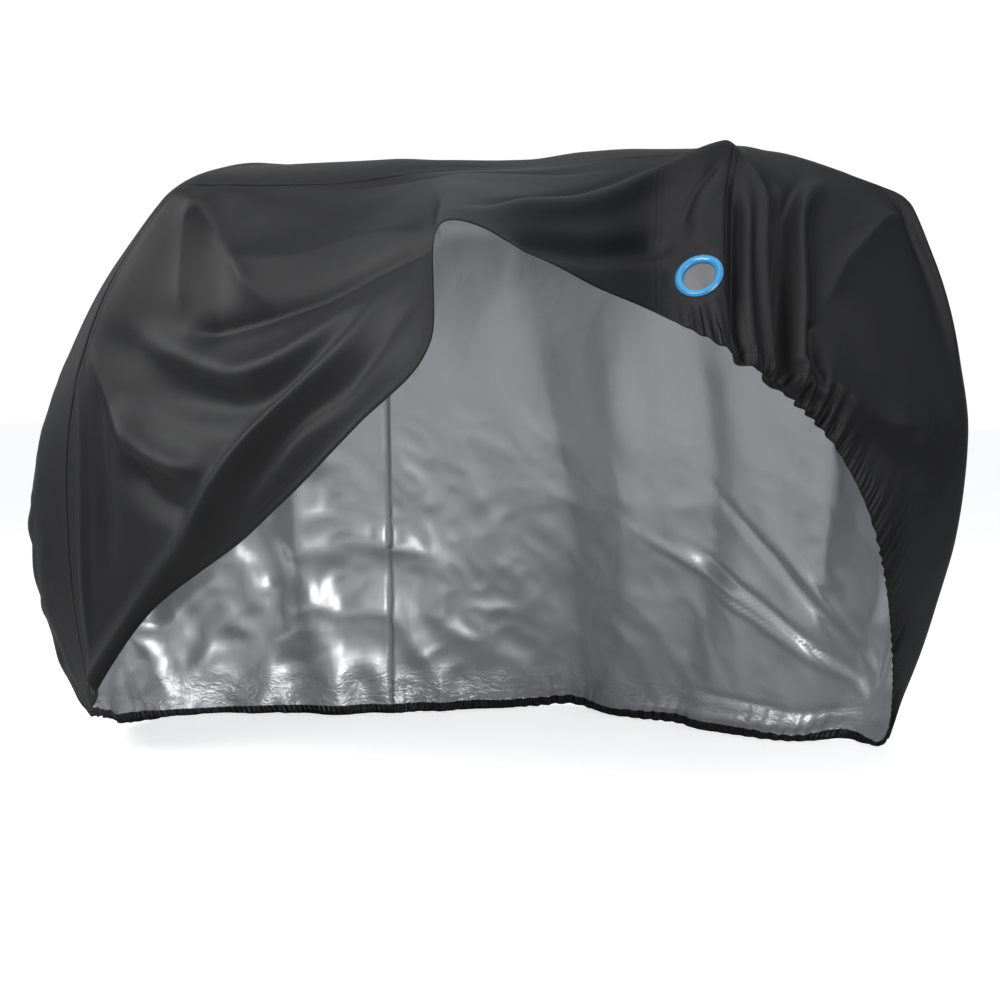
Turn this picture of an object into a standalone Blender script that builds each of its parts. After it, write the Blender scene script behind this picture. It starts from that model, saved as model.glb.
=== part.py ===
"""Fitted cover for bicycles, hanging over its load with the near side lifted.

The cover is a hollow sheet of coated cloth, sewn from a near side, a far side and one band that
runs up the front end, over the top and down the rear end. The near side's front strip holds an
eyelet with a plastic ring. The far side and the rear end reach the floor. The near side's hem is
lifted to a peak, so that a wide arch is open below it.

Metres, +Z up, +X towards the front end, +Y towards the far side. Heights in the tables are above
the floor. The origin of the finished part is on the underside of the top, where it is carried.
"""

from collections import namedtuple

import bmesh
import bpy
import numpy as np
from mathutils import Vector

# Driving sizes ------------------------------------------------------------------------------
CLOTH = 0.002                # thickness of the coated cloth
SEAM_GAP = 0.0003            # clear distance kept between neighbouring pieces
CARRIED_AT = (-0.10, 0.08, 1.102)  # underside of the top, on its ridge: the finished part's origin
EDGE_ROUND = 0.055           # how far from the top edge the cloth starts to turn over it
TOP_BOW = 2.0                # power of the top's fall from its ridge to its edge: 1 is straight
CORNER_AT = 12.8             # the front corner, in sections, where a hard load stretches the cloth
CORNER_REACH = 1.6           # how far around it the cloth is stretched
CORNER_FLAT = 0.75           # how much less bowed the top is there
CORNER_SHARP = 0.55          # how much tighter the cloth turns over the edge there
FLOOR_REST = 0.001           # the hem keeps this height above the floor where it reaches it
EYELET_REACH = 0.15          # cloth further than this along the eyelet's axis is never flattened

RING_HOLE = 0.0520           # clear diameter of the eyelet ring
RING_BARREL = 0.0580         # diameter of the ring's barrel, which fills the hole in the cloth
RING_FLANGE = 0.0780         # outer diameter of the ring's front flange
RING_STEPS = 30
EYELET_AT = 8.60             # place of the eyelet along the sheet, in sections
EYELET_DOWN = 0.74           # and down the near side, 0 at the top edge and 1 at the hem
FLAT_RADIUS = 0.058          # cloth within this distance of the eyelet's axis lies flat
FLAT_FADE = 0.045            # and is drawn flat less and less over this distance more

# The sheet's sections, in order around the cover. Each runs down from the top edge, past the
# belly, which is half way down the wall, to the hem.
Section = namedtuple("Section", "name edge belly hem")
SECTIONS = (
    Section("rear_seam", (-0.505, -0.295, 1.046), (-0.740, -0.330, 0.665), (-0.739, -0.285, 0.105)),
    Section("rear_quarter", (-0.365, -0.250, 1.039), (-0.500, -0.350, 0.700), (-0.551, -0.330, 0.296)),
    Section("near_rear", (-0.256, -0.200, 1.043), (-0.270, -0.370, 0.770), (-0.262, -0.420, 0.453)),
    Section("near_middle", (-0.160, -0.130, 1.050), (-0.090, -0.345, 0.880), (0.011, -0.500, 0.633)),
    Section("drop", (-0.128, -0.100, 1.055), (0.050, -0.355, 0.940), (0.206, -0.570, 0.744)),
    Section("peak", (-0.101, -0.080, 1.058), (0.070, -0.330, 0.990), (0.234, -0.580, 0.897)),
    Section("near_front", (0.000, -0.030, 1.065), (0.150, -0.270, 0.985), (0.289, -0.500, 0.882)),
    Section("dip", (0.123, 0.030, 1.074), (0.225, -0.150, 0.965), (0.304, -0.286, 0.830)),
    Section("strip_seam", (0.229, 0.084, 1.084), (0.279, -0.029, 0.955), (0.331, -0.136, 0.798)),
    Section("front_seam", (0.341, 0.140, 1.096), (0.393, -0.019, 0.928), (0.452, -0.107, 0.733)),
    Section("front_near", (0.422, 0.180, 1.056), (0.480, 0.085, 0.880), (0.485, 0.000, 0.673)),
    Section("front_middle", (0.505, 0.238, 1.029), (0.600, 0.170, 0.800), (0.547, 0.080, 0.576)),
    Section("front_low", (0.557, 0.270, 1.018), (0.662, 0.230, 0.720), (0.585, 0.150, 0.432)),
    Section("front_far", (0.592, 0.285, 1.004), (0.676, 0.330, 0.560), (0.440, 0.598, 0.000)),
    Section("far_corner", (0.500, 0.360, 1.000), (0.545, 0.500, 0.530), (0.370, 0.600, 0.000)),
    Section("far_front", (0.300, 0.340, 1.030), (0.300, 0.460, 0.500), (0.180, 0.544, 0.000)),
    Section("far_middle", (0.000, 0.300, 1.030), (0.000, 0.450, 0.500), (-0.106, 0.581, 0.000)),
    Section("far_rear", (-0.220, 0.260, 1.030), (-0.200, 0.450, 0.500), (-0.233, 0.609, 0.000)),
    Section("rear_far", (-0.420, 0.180, 1.030), (-0.500, 0.300, 0.500), (-0.520, 0.345, 0.000)),
    Section("rear_middle", (-0.500, 0.070, 1.075), (-0.760, 0.150, 0.500), (-0.715, 0.222, 0.000)),
    Section("rear_back", (-0.530, -0.030, 1.100), (-0.930, 0.000, 0.520), (-0.895, 0.060, 0.000)),
    Section("rear_bulge", (-0.536, -0.130, 1.110), (-0.954, -0.150, 0.540), (-0.875, -0.100, 0.030)),
    Section("rear_near", (-0.534, -0.230, 1.077), (-0.885, -0.285, 0.560), (-0.800, -0.235, 0.080)),
)
REAR_SEAM, STRIP_SEAM, FRONT_SEAM, FRONT_FAR, REAR_FAR = 0, 8, 9, 13, 18
ROUND = len(SECTIONS)        # a whole turn around the cover, in sections

# The ridge of the top, from the rear to the front.
RIDGE = ((-0.400, -0.020, 1.101), (-0.100, 0.080, 1.104), (0.150, 0.160, 1.108), (0.350, 0.230, 1.096))

# Columns of cloth between one section and the next, and rows down the top and down the wall.
NEAR_COLUMNS = (7, 9, 8, 6, 5, 4, 8, 6, 9)
FRONT_COLUMNS = (4, 4, 3, 3)
REAR_COLUMNS = (3, 3, 3, 3, 2)
TOP_ROWS = (-1.0, -0.70, -0.40, -0.20, -0.09, 0.0)
WALL_ROWS = (0.0, 0.025, 0.06, 0.11, 0.17, 0.23, 0.29, 0.35, 0.41, 0.47, 0.53, 0.59,
             0.65, 0.71, 0.77, 0.83, 0.89, 0.95, 1.0)

# Folds: each follows a path of (section, down) places, down from 0 at the top edge to 1 at the
# hem. Its cross-section is a soft swell, of this width to each side and this rise outwards, or a
# trough where the rise is negative. It fades out at the ends that are named.
Fold = namedtuple("Fold", "name path width rise fades")
FOLDS = (
    Fold("corner_crease", ((0.37, 0.04), (0.99, 0.15), (1.50, 0.27), (1.76, 0.36)), 0.027, 0.018, "end"),
    Fold("corner_hollow", ((0.95, 0.17), (1.25, 0.27), (1.50, 0.38)), 0.032, -0.012, "both"),
    Fold("rear_cheek", ((0.45, 0.06), (0.67, 0.17), (0.86, 0.28), (1.08, 0.38)), 0.036, 0.014, "both"),
    Fold("rear_tuck", ((-0.11, 0.34), (0.76, 0.42), (1.63, 0.56), (2.18, 0.68)), 0.050, -0.024, "both"),
    Fold("upper_swag", ((-0.16, 0.30), (0.62, 0.39), (1.29, 0.48), (1.95, 0.60), (2.61, 0.69), (3.25, 0.71),
                        (3.79, 0.66)), 0.036, 0.030, "both"),
    Fold("swag_valley", ((1.25, 0.41), (1.70, 0.43), (2.23, 0.47), (2.76, 0.54), (3.26, 0.58), (4.06, 0.63)),
         0.028, -0.020, "start"),
    Fold("upper_panel", ((0.84, 0.09), (2.00, 0.11), (3.49, 0.28)), 0.050, 0.012, "both"),
    Fold("under_panel", ((1.75, 0.32), (2.69, 0.45), (3.75, 0.55)), 0.032, -0.012, "both"),
    Fold("middle_hollow", ((0.50, 0.46), (1.64, 0.63), (2.57, 0.74), (3.16, 0.74)), 0.036, -0.016, "both"),
    Fold("lower_swag", ((0.47, 0.52), (0.91, 0.64), (1.38, 0.74), (1.76, 0.81)), 0.032, 0.026, "both"),
    Fold("lower_hollow", ((0.63, 0.63), (1.18, 0.79), (1.58, 0.87)), 0.032, -0.018, "both"),
    Fold("hem_ridge", ((3.97, 0.63), (3.03, 0.81), (2.35, 0.80), (1.48, 0.93), (0.88, 0.97)),
         0.030, 0.022, "start"),
    Fold("hem_valley", ((4.06, 0.80), (3.02, 0.90), (2.49, 0.86), (1.66, 0.96)), 0.032, -0.026, "both"),
    Fold("front_ridge", ((5.30, 0.98), (6.00, 0.78), (6.70, 0.56), (7.75, 0.26), (8.88, 0.06)),
         0.030, 0.024, "start"),
    Fold("peak_valley", ((5.60, 1.00), (6.05, 0.98), (6.75, 0.84), (7.95, 0.66)), 0.027, -0.020, "start"),
    Fold("seam_fold", ((9.06, 0.08), (9.17, 0.32), (9.16, 0.64), (9.12, 0.94)), 0.016, -0.022, "none"),
    Fold("second_fold", ((9.32, 0.07), (9.47, 0.23), (9.48, 0.60), (9.51, 0.91)), 0.014, 0.018, "both"),
    Fold("third_fold", ((9.34, 0.06), (9.59, 0.26), (9.60, 0.66), (9.70, 0.95)), 0.016, -0.020, "both"),
    Fold("long_fold", ((10.56, 0.01), (10.05, 0.23), (9.94, 0.42), (9.98, 0.72), (10.09, 0.90)),
         0.020, 0.026, "both"),
    Fold("corner_ridge", ((12.70, 0.00), (11.80, 0.08), (11.05, 0.18), (10.54, 0.37), (10.31, 0.55),
                          (10.22, 0.70)), 0.028, 0.024, "both"),
    Fold("shelf_edge", ((10.25, 0.86), (10.60, 0.86), (10.95, 0.85), (11.50, 0.78), (12.10, 0.66)),
         0.030, 0.026, "both"),
    Fold("shelf_under", ((10.73, 0.91), (11.49, 0.86), (12.41, 0.66)), 0.042, -0.022, "both"),
    Fold("far_pleat_front", ((14.10, 0.12), (14.20, 0.55), (14.05, 0.98)), 0.045, 0.022, "start"),
    Fold("far_hollow_front", ((14.60, 0.20), (14.70, 0.60), (14.60, 0.98)), 0.055, -0.020, "start"),
    Fold("far_pleat_middle", ((15.60, 0.10), (15.50, 0.55), (15.60, 0.98)), 0.050, 0.020, "start"),
    Fold("far_hollow_middle", ((16.20, 0.15), (16.10, 0.60), (16.25, 0.98)), 0.050, -0.022, "start"),
    Fold("far_pleat_rear", ((17.00, 0.10), (16.90, 0.60), (17.05, 0.98)), 0.045, 0.024, "start"),
    Fold("rear_corner_fold", ((18.20, 0.05), (18.60, 0.50), (18.50, 0.98)), 0.040, -0.022, "start"),
    Fold("rear_end_fold", ((19.60, 0.10), (19.90, 0.50), (19.80, 0.95)), 0.040, 0.018, "both"),
    Fold("top_sag", ((3.00, -0.40), (5.00, -0.40), (7.20, -0.40)), 0.060, -0.008, "both"),
    Fold("far_top_sag", ((14.60, -0.45), (16.00, -0.50), (17.20, -0.50)), 0.070, -0.012, "both"),
)
PATH_STEPS = 20              # straight lengths that each fold's path is read in
FADE_SHARE = 0.30            # share of a fold's length over which an end fades out

# Elastic draws the hem into gathers.
GATHER_WAVE = 0.42           # one gather, in sections
GATHER_RISE = 0.0035
GATHER_REACH = 0.16          # how far up from the hem the gathers reach, as a share of the wall
GATHERED = (8.3, 17.8)       # sections between which the hem is gathered


def blend(start, end, slope_start, slope_end, share):
    """Return the smooth curve between two points that leaves and arrives with these slopes."""
    square, cube = share ** 2, share ** 3
    return ((2 * cube - 3 * square + 1) * start + (cube - 2 * square + share) * slope_start
            + (3 * square - 2 * cube) * end + (cube - square) * slope_end)


def read_loop(points, at):
    """Read a closed smooth curve through the points, one point to each whole number."""
    ahead = np.sqrt(np.linalg.norm(np.roll(points, -1, 0) - points, axis=1, keepdims=True))
    behind = np.roll(ahead, 1, 0)
    slopes = ((points - np.roll(points, 1, 0)) / behind * ahead
              + (np.roll(points, -1, 0) - points) / ahead * behind) / (ahead + behind)
    first = np.floor(at).astype(int) % ROUND
    second = (first + 1) % ROUND
    step = ahead[first]
    share = (at - np.floor(at))[:, None]
    return blend(points[first], points[second], slopes[first] * step, slopes[second] * step, share)


def read_path(points, at):
    """Read an open smooth curve through the points, one point to each whole number."""
    points = np.array(points, float)
    slopes = np.gradient(points, axis=0)
    first = np.clip(np.floor(at).astype(int), 0, len(points) - 2)
    share = (at - first)[:, None]
    return blend(points[first], points[first + 1], slopes[first], slopes[first + 1], share)


def ridge_share(at):
    """Say how far along the top's ridge, from rear to front, a place around the cover meets it."""
    at = at % ROUND
    near = at / FRONT_SEAM
    far = 1 - (at - FRONT_FAR) / (REAR_FAR - FRONT_FAR)
    return np.where(at <= FRONT_SEAM, near, np.where(at <= FRONT_FAR, 1.0, np.clip(far, 0, 1)))


EDGES, BELLIES, HEMS = (np.array(ring) for ring in zip(*[section[1:] for section in SECTIONS]))


def stretched_share(at):
    """Say how much the front corner stretches each place around the cover, from 0 to 1."""
    return np.exp(-((at % ROUND - CORNER_AT) / CORNER_REACH) ** 2)


def plain_sheet(at, down):
    """Return places on the sheet before its folds: down is -1 on the ridge, 0 at the top edge."""
    at, down = np.broadcast_arrays(np.atleast_1d(at).astype(float), np.atleast_1d(down).astype(float))
    edge, belly, hem = read_loop(EDGES, at), read_loop(BELLIES, at), read_loop(HEMS, at)
    ridge = read_path(RIDGE, ridge_share(at) * (len(RIDGE) - 1))
    bow = TOP_BOW - CORNER_FLAT * stretched_share(at)
    turn_from = EDGE_ROUND * (1 - CORNER_SHARP * stretched_share(at))

    def top(share):
        flat = ridge + (edge - ridge) * share[:, None]
        flat[:, 2] = ridge[:, 2] + (edge - ridge)[:, 2] * share ** bow
        return flat

    def wall(share):
        share = share[:, None]
        return (edge * (2 * share - 1) * (share - 1) + belly * 4 * share * (1 - share)
                + hem * share * (2 * share - 1))

    # Near the top edge the cloth turns on a curve that starts and ends along the top and wall.
    above = np.minimum(0.45, turn_from / np.linalg.norm(edge - ridge, axis=1))
    below = np.minimum(0.30, turn_from / (1.1 * np.linalg.norm(hem - edge, axis=1)))
    turn = np.where(down < 0, (down + above) / above, 1 + down / below) / 2
    turn = np.clip(turn, 0, 1)[:, None]
    corner = (1 - turn) ** 2 * top(1 - above) + 2 * turn * (1 - turn) * edge + turn ** 2 * wall(below)
    plain = np.where(down[:, None] < 0, top(np.clip(down + 1, 0, 1)), wall(np.clip(down, 0, 1)))
    return np.where(((down > -above) & (down < below))[:, None], corner, plain)


def outward(sheet, at, down):
    """Return the outward directions of a sheet function at these places."""
    step = 0.004
    along = sheet(at + step, down) - sheet(at - step, down)
    across = sheet(at, np.minimum(down + step, 1)) - sheet(at, np.maximum(down - step, -1))
    normal = np.cross(across, along)
    length = np.linalg.norm(normal, axis=1, keepdims=True)
    up = np.array((0.0, 0.0, 1.0))
    return np.where(length > 1e-9, normal / np.maximum(length, 1e-9), up)


def soften(share):
    """Ease a share from 0 to 1 with level ends."""
    share = np.clip(share, 0, 1)
    return share * share * (3 - 2 * share)


def fold_rise(fold, places):
    """Return how far a fold lifts each place on the sheet."""
    path = read_path(fold.path, np.linspace(0, len(fold.path) - 1, PATH_STEPS + 1))
    line = plain_sheet(path[:, 0], path[:, 1])
    nearest = np.full(len(places), 1e9)
    along = np.zeros(len(places))
    for number in range(PATH_STEPS):
        start, run = line[number], line[number + 1] - line[number]
        share = np.clip((places - start) @ run / max(run @ run, 1e-12), 0, 1)
        distance = np.linalg.norm(places - start - share[:, None] * run, axis=1)
        closer = distance < nearest
        nearest = np.where(closer, distance, nearest)
        along = np.where(closer, (number + share) / PATH_STEPS, along)
    strength = np.ones(len(places))
    if fold.fades in ("start", "both"):
        strength = strength * soften(along / FADE_SHARE)
    if fold.fades in ("end", "both"):
        strength = strength * soften((1 - along) / FADE_SHARE)
    return fold.rise * strength * np.exp(-(nearest / fold.width) ** 2)


def gather_rise(at, down):
    """Return how far the gathers of the elastic hem lift each place."""
    first, last = GATHERED
    reach = soften((down - 1 + GATHER_REACH) / GATHER_REACH)
    ends = soften((at % ROUND - first) / 0.5) * soften((last - at % ROUND) / 0.5)
    uneven = 0.6 + 0.4 * np.sin(2.3 * at)
    return GATHER_RISE * reach * ends * uneven * np.sin(2 * np.pi * at / GATHER_WAVE)


EYELET_CENTRE = plain_sheet(EYELET_AT, EYELET_DOWN)[0]
EYELET_AXIS = outward(plain_sheet, np.array([EYELET_AT]), np.array([EYELET_DOWN]))[0]


def folded_sheet(at, down):
    """Return places on the sheet with its folds, its gathers and the flat patch at the eyelet."""
    plain = plain_sheet(at, down)
    rise = sum(fold_rise(fold, plain) for fold in FOLDS) + gather_rise(at, down)
    folded = plain + outward(plain_sheet, at, down) * rise[:, None]
    lift = (folded - EYELET_CENTRE) @ EYELET_AXIS
    aside = np.linalg.norm(folded - EYELET_CENTRE - lift[:, None] * EYELET_AXIS, axis=1)
    flat = 1 - soften((aside - FLAT_RADIUS) / FLAT_FADE)
    flat = np.where(np.abs(lift) < EYELET_REACH, flat, 0.0)
    folded = folded - EYELET_AXIS * (lift * flat)[:, None]
    folded[:, 2] = np.maximum(folded[:, 2], FLOOR_REST)
    return folded


def columns(first, counts):
    """Return the places of the columns from this section on, evenly within each section."""
    places = [first + number + share / count
              for number, count in enumerate(counts) for share in range(count)]
    return np.array(places + [first + len(counts)])


def add_patch(bm, inward, at, down):
    """Add one patch of cloth to the mesh, a column for each place around, a row for each down."""
    grid = bmesh.ops.create_grid(bm, x_segments=len(at) - 1, y_segments=len(down) - 1, size=1.0)
    verts = grid["verts"]
    flat = np.array([vert.co for vert in verts])
    column = np.rint((flat[:, 0] + 1) / 2 * (len(at) - 1)).astype(int)
    row = np.rint((flat[:, 1] + 1) / 2 * (len(down) - 1)).astype(int)
    vert_at, vert_down = at[column], np.array(down)[row]
    places = folded_sheet(vert_at, vert_down) - np.array(CARRIED_AT)
    normals = outward(folded_sheet, vert_at, vert_down)
    for vert, place, normal in zip(verts, places, normals):
        vert.co = Vector(place)
        vert[inward] = Vector(-normal)


def new_object(bm, name, material, smooth=True):
    """Make the mesh an object of the scene with its material."""
    mesh = bpy.data.meshes.new(name)
    bm.to_mesh(mesh)
    bm.free()
    if smooth:
        mesh.shade_smooth()
    mesh.materials.append(material)
    piece = bpy.data.objects.new(name, mesh)
    bpy.context.scene.collection.objects.link(piece)
    return piece


def cloth_piece(name, patches, material):
    """Sew patches into one panel, draw its outline in by half a gap and give it its thickness."""
    bm = bmesh.new()
    inward = bm.verts.layers.float_vector.new("inward")
    for at, down in patches:
        add_patch(bm, inward, at, down)
    bmesh.ops.remove_doubles(bm, verts=bm.verts[:], dist=0.0001)
    moves = []
    for vert in bm.verts:
        if vert.is_boundary:
            middle = sum((face.calc_center_median() for face in vert.link_faces), Vector())
            aim = middle / len(vert.link_faces) - vert.co
            moves.append((vert, aim.normalized() * SEAM_GAP * 0.7))
    for vert, move in moves:
        vert.co += move
    sides = bmesh.ops.extrude_face_region(bm, geom=bm.faces[:], use_keep_orig=True)
    for item in sides["geom"]:
        if isinstance(item, bmesh.types.BMVert):
            item.co += item[inward].normalized() * CLOTH
    bmesh.ops.triangulate(bm, faces=bm.faces[:])
    bmesh.ops.recalc_face_normals(bm, faces=bm.faces[:])
    return new_object(bm, name, material)


def plain_material(name, colour, roughness):
    """Return a material of this colour and roughness."""
    material = bpy.data.materials.new(name)
    material.use_nodes = True
    shader = material.node_tree.nodes["Principled BSDF"]
    shader.inputs["Base Color"].default_value = (*colour, 1.0)
    shader.inputs["Roughness"].default_value = roughness
    return material


def eyelet_frame():
    """Return the eyelet's centre and the turn that brings +Z onto its outward axis."""
    centre = Vector(EYELET_CENTRE - np.array(CARRIED_AT))
    return centre, Vector(EYELET_AXIS).to_track_quat("Z", "Y")


def place_at_eyelet(piece):
    """Stand an object that was modelled around +Z on the eyelet's axis."""
    centre, turn = eyelet_frame()
    piece.location = centre
    piece.rotation_mode = "QUATERNION"
    piece.rotation_quaternion = turn


def cut_eyelet_hole(strip, material):
    """Cut the round hole that the ring's barrel fills through the strip."""
    bm = bmesh.new()
    radius = RING_BARREL / 2 + SEAM_GAP
    bmesh.ops.create_cone(bm, cap_ends=True, segments=RING_STEPS, radius1=radius, radius2=radius,
                          depth=0.04)
    cutter = new_object(bm, "eyelet_cutter", material, smooth=False)
    place_at_eyelet(cutter)
    cutter.hide_render = True
    cutter.display_type = "WIRE"
    hole = strip.modifiers.new("eyelet_hole", "BOOLEAN")
    hole.object = cutter
    hole.operation = "DIFFERENCE"
    hole.solver = "EXACT"


def eyelet_ring(material):
    """Turn the ring: a crowned front flange, a barrel through the cloth and a flat back flange."""
    hole, barrel, flange = RING_HOLE / 2, RING_BARREL / 2, RING_FLANGE / 2
    front, back = SEAM_GAP, -CLOTH - SEAM_GAP
    outline = (
        (barrel, front), (flange - 0.0008, front), (flange, front + 0.0010),
        (flange - 0.0012, front + 0.0026), (flange - 0.0036, front + 0.0039),
        (flange - 0.0062, front + 0.0041), (hole + 0.0024, front + 0.0033),
        (hole + 0.0006, front + 0.0016), (hole, front - 0.0006), (hole, back - 0.0012),
        (hole + 0.0008, back - 0.0020), (flange - 0.0042, back - 0.0020),
        (flange - 0.0034, back - 0.0012), (flange - 0.0036, back), (barrel, back),
    )
    bm = bmesh.new()
    verts = [bm.verts.new((radius, 0.0, height)) for radius, height in outline]
    edges = [bm.edges.new((vert, verts[number - 1])) for number, vert in enumerate(verts)]
    bmesh.ops.spin(bm, geom=verts + edges, cent=(0, 0, 0), axis=(0, 0, 1), angle=2 * np.pi,
                   steps=RING_STEPS, use_merge=True)
    bmesh.ops.recalc_face_normals(bm, faces=bm.faces[:])
    ring = new_object(bm, "eyelet_ring", material)
    place_at_eyelet(ring)
    return ring


def build():
    """Model the cover."""
    for old in list(bpy.data.objects):
        bpy.data.objects.remove(old, do_unlink=True)
    black = plain_material("coated_cloth", (0.035, 0.035, 0.037), 0.42)
    blue = plain_material("ring_plastic", (0.08, 0.46, 0.78), 0.22)

    near = columns(REAR_SEAM, NEAR_COLUMNS)
    front = columns(FRONT_SEAM, FRONT_COLUMNS)
    far = FRONT_FAR + (REAR_FAR - FRONT_FAR) * (1 - near[::-1] / FRONT_SEAM)
    rear = columns(REAR_FAR, REAR_COLUMNS)
    rows_of_top, rows_of_wall = np.array(TOP_ROWS), np.array(WALL_ROWS)

    cloth_piece("near_side", [(near[near <= STRIP_SEAM], rows_of_wall)], black)
    strip = cloth_piece("eyelet_strip", [(near[near >= STRIP_SEAM], rows_of_wall)], black)
    cloth_piece("far_side", [(far, rows_of_wall)], black)
    cloth_piece("centre_band", [(near, rows_of_top), (front, rows_of_top), (far, rows_of_top),
                                (rear, rows_of_top), (front, rows_of_wall), (rear, rows_of_wall)], black)
    cut_eyelet_hole(strip, black)
    eyelet_ring(blue)


build()
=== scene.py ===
"""Dresses the fitted cover: fine draped cloth, black outside and silver inside, and its blue ring.

The cloth is one surface read at (section, down): the section runs around the cover and down runs
from -1 on the ridge of the top, past 0 at the top edge, to 1 at the hem. Every panel is a fine grid
that is laid on that surface, so the panels meet at their seams. Metres, +Z up.
"""

from collections import namedtuple

import bmesh
import bpy
import numpy as np
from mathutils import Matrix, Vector, noise


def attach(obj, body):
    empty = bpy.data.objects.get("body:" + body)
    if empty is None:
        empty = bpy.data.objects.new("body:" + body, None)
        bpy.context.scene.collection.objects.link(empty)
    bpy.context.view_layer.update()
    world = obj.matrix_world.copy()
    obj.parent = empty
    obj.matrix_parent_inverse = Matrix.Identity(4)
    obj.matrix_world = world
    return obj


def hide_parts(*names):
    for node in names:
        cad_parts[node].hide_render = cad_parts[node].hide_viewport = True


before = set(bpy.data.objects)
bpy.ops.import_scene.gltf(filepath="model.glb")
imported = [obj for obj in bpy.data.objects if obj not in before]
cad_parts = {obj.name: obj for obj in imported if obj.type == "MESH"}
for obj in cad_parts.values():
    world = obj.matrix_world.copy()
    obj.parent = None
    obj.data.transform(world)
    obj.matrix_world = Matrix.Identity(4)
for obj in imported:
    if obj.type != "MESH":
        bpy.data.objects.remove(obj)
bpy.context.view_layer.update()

bl_info = {
    "name": "Draped cover",
    "version": (1, 0, 0),
    "blender": (4, 5, 0),
    "location": "View3D > Sidebar > Cover",
    "description": "Builds a fitted cover of coated cloth, draped with its near side lifted",
    "category": "Object",
}

# The hanging shape, from the same tables as the solids ---------------------------------------
CARRIED_AT = np.array((-0.10, 0.08, 1.102))  # the part's origin, in heights above the floor
SEAM_GAP = 0.0003
EDGE_ROUND = 0.055
TOP_BOW = 2.0
CORNER_AT, CORNER_REACH = 12.8, 1.6
CORNER_FLAT, CORNER_SHARP = 0.75, 0.55
TURN_ABOVE, TURN_BELOW = 0.45, 0.30  # most of top and wall in the edge's turn
WALL_STRETCH = 1.1           # a wall's length beside its straight fall
FLOOR_REST = 0.001
EYELET_REACH = 0.15
EYELET_AT, EYELET_DOWN = 8.60, 0.74
FLAT_RADIUS, FLAT_FADE = 0.041, 0.018
FLAT_PAST_SEAM = 0.09        # sections past the front seam in which the flat patch ends
HOLE_MARGIN = 0.007          # cloth this close to the eyelet's hole is drawn onto its edge

Section = namedtuple("Section", "name edge belly hem")
SECTIONS = (
    Section("rear_seam", (-0.505, -0.295, 1.046), (-0.740, -0.330, 0.665), (-0.739, -0.285, 0.105)),
    Section("rear_quarter", (-0.365, -0.250, 1.039), (-0.500, -0.350, 0.700), (-0.551, -0.330, 0.296)),
    Section("near_rear", (-0.256, -0.200, 1.043), (-0.270, -0.370, 0.770), (-0.262, -0.420, 0.453)),
    Section("near_middle", (-0.160, -0.130, 1.050), (-0.090, -0.345, 0.880), (0.011, -0.500, 0.633)),
    Section("drop", (-0.128, -0.100, 1.055), (0.050, -0.355, 0.940), (0.206, -0.570, 0.744)),
    Section("peak", (-0.101, -0.080, 1.058), (0.070, -0.330, 0.990), (0.234, -0.580, 0.897)),
    Section("near_front", (0.000, -0.030, 1.065), (0.150, -0.270, 0.985), (0.289, -0.500, 0.882)),
    Section("dip", (0.123, 0.030, 1.074), (0.225, -0.150, 0.965), (0.304, -0.286, 0.830)),
    Section("strip_seam", (0.229, 0.084, 1.084), (0.279, -0.029, 0.955), (0.331, -0.136, 0.798)),
    Section("front_seam", (0.341, 0.140, 1.096), (0.393, -0.019, 0.928), (0.452, -0.107, 0.733)),
    Section("front_near", (0.422, 0.180, 1.056), (0.480, 0.085, 0.880), (0.485, 0.000, 0.673)),
    Section("front_middle", (0.505, 0.238, 1.029), (0.600, 0.170, 0.800), (0.547, 0.080, 0.576)),
    Section("front_low", (0.557, 0.270, 1.018), (0.662, 0.230, 0.720), (0.585, 0.150, 0.432)),
    Section("front_far", (0.592, 0.285, 1.004), (0.676, 0.330, 0.560), (0.440, 0.598, 0.000)),
    Section("far_corner", (0.500, 0.360, 1.000), (0.545, 0.500, 0.530), (0.370, 0.600, 0.000)),
    Section("far_front", (0.300, 0.340, 1.030), (0.300, 0.460, 0.500), (0.180, 0.544, 0.000)),
    Section("far_middle", (0.000, 0.300, 1.030), (0.000, 0.450, 0.500), (-0.106, 0.581, 0.000)),
    Section("far_rear", (-0.220, 0.260, 1.030), (-0.200, 0.450, 0.500), (-0.233, 0.609, 0.000)),
    Section("rear_far", (-0.420, 0.180, 1.030), (-0.500, 0.300, 0.500), (-0.520, 0.345, 0.000)),
    Section("rear_middle", (-0.500, 0.070, 1.075), (-0.760, 0.150, 0.500), (-0.715, 0.222, 0.000)),
    Section("rear_back", (-0.530, -0.030, 1.100), (-0.930, 0.000, 0.520), (-0.895, 0.060, 0.000)),
    Section("rear_bulge", (-0.536, -0.130, 1.110), (-0.954, -0.150, 0.540), (-0.875, -0.100, 0.030)),
    Section("rear_near", (-0.534, -0.230, 1.077), (-0.885, -0.285, 0.560), (-0.800, -0.235, 0.080)),
)
REAR_SEAM, STRIP_SEAM, FRONT_SEAM, FRONT_FAR, REAR_FAR = 0, 8, 9, 13, 18
ROUND = len(SECTIONS)
RIDGE = ((-0.400, -0.020, 1.101), (-0.100, 0.080, 1.104), (0.150, 0.160, 1.108), (0.350, 0.230, 1.096))

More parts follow.
